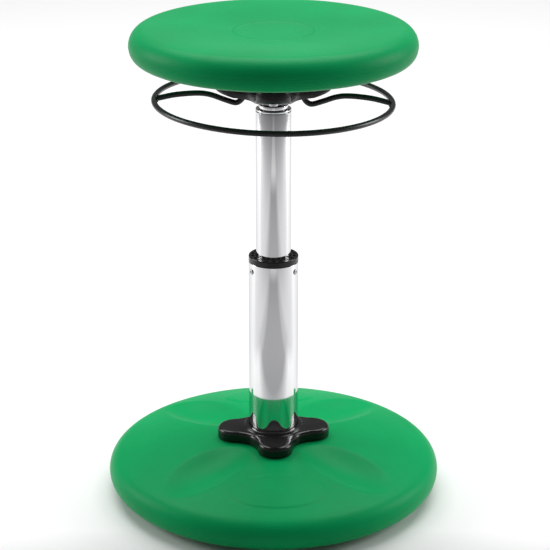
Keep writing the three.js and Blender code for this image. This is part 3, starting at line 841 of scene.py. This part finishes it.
# ---- seat ---------------------------------------------------------------------------------
def dish_height(radius):
    """Height of the seat's top, which sinks softly towards the middle."""
    rim = SEAT_RADIUS - SEAT_RIM_RADIUS
    part = (radius - SEAT_DISH_RADIUS) / (rim - SEAT_DISH_RADIUS)
    return SEAT_TOP - SEAT_DISH * (1 - smoothstep(part))


def seat_outline():
    """Hollow shell from the opening, along the underside, round the edge, over the top and back inside."""
    rim_centre, rim_height = SEAT_RADIUS - SEAT_RIM_RADIUS, SEAT_TOP - SEAT_RIM_RADIUS
    edge_height = SEAT_EDGE_BOTTOM + SEAT_EDGE_RADIUS
    outline = [(SEAT_OPENING, SEAT_UNDER), (SEAT_UNDER_FLAT, SEAT_UNDER)]
    outline += [(r, seat_under(r)) for r in spread(36, 138, 12)]
    outline += arc(SEAT_EDGE_CENTRE, edge_height, SEAT_EDGE_RADIUS, -72, -3, 24)
    seam = (edge_height + rim_height) / 2
    outline += [(SEAT_RADIUS - 0.35, seam - 0.5), (SEAT_RADIUS, seam - 0.25)]
    outline += [(SEAT_RADIUS, seam + 0.25), (SEAT_RADIUS - 0.2, seam + 0.5)]
    outline += arc(rim_centre, rim_height, SEAT_RIM_RADIUS - 0.05, 1, 88, 32)
    outline += [(r, dish_height(r)) for r in spread(138, 47, 32)]
    groove = SEAT_DISH_RADIUS
    outline += [(groove + 0.6, dish_height(groove)), (groove, dish_height(groove) - 0.35)]
    outline.append((groove - 0.6, dish_height(groove)))
    outline += [(r, dish_height(r)) for r in spread(40, 0, 6)]
    outline += [(r, dish_height(r) - WALL) for r in spread(0, 136, 20)]
    outline += arc(rim_centre, rim_height, SEAT_RIM_RADIUS - WALL, 80, 0, 12)
    outline += arc(SEAT_EDGE_CENTRE, edge_height, SEAT_EDGE_RADIUS - WALL, 0, -72, 8)
    outline += [(SEAT_UNDER_FLAT, SEAT_UNDER + WALL), (SEAT_OPENING, SEAT_UNDER + WALL)]
    return outline


def build_seat():
    points, faces = revolved(seat_outline(), 256)
    seat = mesh_piece("seat_moulding", points, faces, "green_plastic", "column", ["seat_shell"], 50)
    hole = revolved([(0, 480), (BOLT_HOLE_RADIUS, 480), (BOLT_HOLE_RADIUS, 508), (0, 508)], 32)
    cut_away(seat, [placed(hole, bolt_place(k)) for k in range(BOLT_COUNT)])


def build_bolts():
    """Seat bolts: hexagon-socket heads in the spider's recesses."""
    for k in range(BOLT_COUNT):
        name = f"seat_bolt_{k + 1}"
        bottom, top = low(name).z, high(name).z
        outline = [(0, bottom)] + arc(4.4, bottom + 0.6, 0.6, -90, 0, 4)
        outline += [(5, bottom + 4), (3, bottom + 4), (3, top - 0.5), (2.5, top), (0, top)]
        place = bolt_place(k)
        points, faces = placed(revolved(outline, 40), place)
        piece = mesh_piece(f"socket_bolt_{k + 1}", points, faces, "steel", "column", [name])
        socket = [(0, bottom - 2), (2.6, bottom - 2), (2.6, bottom + 2.2), (0, bottom + 2.2)]
        cut_away(piece, [placed(revolved(socket, 6), place)])


# ---- studio -------------------------------------------------------------------------------
def build_floor():
    mesh = bpy.data.meshes.new("studio_floor")
    corners = [(x * FLOOR_REACH, y * FLOOR_REACH, 0) for x, y in ((-1, -1), (1, -1), (1, 1), (-1, 1))]
    mesh.from_pydata(corners, [], [(0, 1, 2, 3)])
    mesh.materials.append(floor_with_painted_shade())
    floor = bpy.data.objects.new("studio_floor", mesh)
    bpy.context.scene.collection.objects.link(floor)
    floor.location.z = -FLOOR_DROP


def area_light(name, place, target, size, power):
    light = bpy.data.lights.new(name, "AREA")
    light.shape = "RECTANGLE"
    light.size, light.size_y = size
    light.energy = power
    lamp = bpy.data.objects.new(name, light)
    lamp.location = place
    lamp.rotation_euler = (Vector(target) - Vector(place)).to_track_quat("-Z", "Y").to_euler()
    bpy.context.scene.collection.objects.link(lamp)


def build_lights():
    world = bpy.data.worlds.new("studio")
    world.use_nodes = True
    background = world.node_tree.nodes["Background"]
    background.inputs["Color"].default_value = (1, 1, 1, 1)
    background.inputs["Strength"].default_value = WORLD_STRENGTH
    bpy.context.scene.world = world
    area_light("top_box", (0, 1.5, 3.9), (0, 0.1, 0), (5, 3), TOP_LIGHT_POWER)
    for side in (-1, 1):
        place = (side * 2.6, 0.5, 1.2)
        area_light(f"side_box_{side + 2}", place, (0, 0, 0.4), (1.2, 1.3), SIDE_LIGHT_POWER)


def build_camera():
    camera = bpy.data.cameras.new("camera")
    camera.lens = CAMERA_LENS
    camera.sensor_width = SENSOR_WIDTH
    camera.shift_x, camera.shift_y = CAMERA_SHIFT
    holder = bpy.data.objects.new("camera", camera)
    holder.location = (0, -CAMERA_DISTANCE, CAMERA_HEIGHT)
    holder.rotation_euler = (math.pi / 2 - CAMERA_DOWN, 0, 0)
    bpy.context.scene.collection.objects.link(holder)
    bpy.context.scene.camera = holder


# ---- assembly -----------------------------------------------------------------------------
bpy.context.scene.view_settings.view_transform = "Standard"
dress_cad_nodes()
build_base()
build_pad()
build_star()
build_tubes()
build_collar()
build_screws()
build_cap()
build_spider()
build_ring()
build_arms()
build_seat()
build_bolts()
build_floor()
build_lights()
build_camera()
